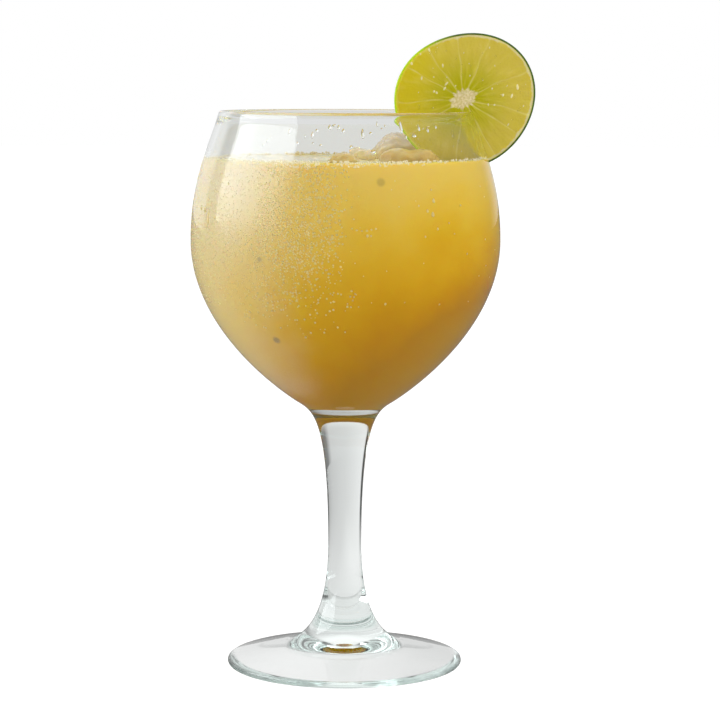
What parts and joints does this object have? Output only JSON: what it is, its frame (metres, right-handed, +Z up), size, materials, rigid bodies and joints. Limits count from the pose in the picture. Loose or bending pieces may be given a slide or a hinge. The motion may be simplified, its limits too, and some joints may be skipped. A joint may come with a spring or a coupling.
{
  "type": "frozen lemonade in a stemmed goblet",
  "caption": "Cloudy frozen lemonade with lumps of ice in a clear stemmed balloon goblet, a slit wheel of lime on the rim.",
  "frame": {"origin": "under the middle of the whole, in the plane that the foot stands on; the goblet's axis is 5.5 mm from it towards -X", "axes": "+Z up along the stem, +X towards the lime on the rim, the lime's cut face towards -Y"},
  "size_m": [0.1191, 0.1076, 0.2211],
  "materials": {
    "glass": "clear pressed glass with a faint green tint and mist on the bowl",
    "drink": "cloudy yellow to amber drink",
    "ice": "wet, cloudy ice stained by the drink",
    "lime": "wet cut lime flesh with a thin green rind"
  },
  "bodies": {
    "root": {"goblet": "glass", "lemonade": "drink", "ice_large": "ice", "ice_front": "ice", "ice_clear": "ice", "ice_small": "ice", "lime_slice": "lime"}
  },
  "joints": []
}
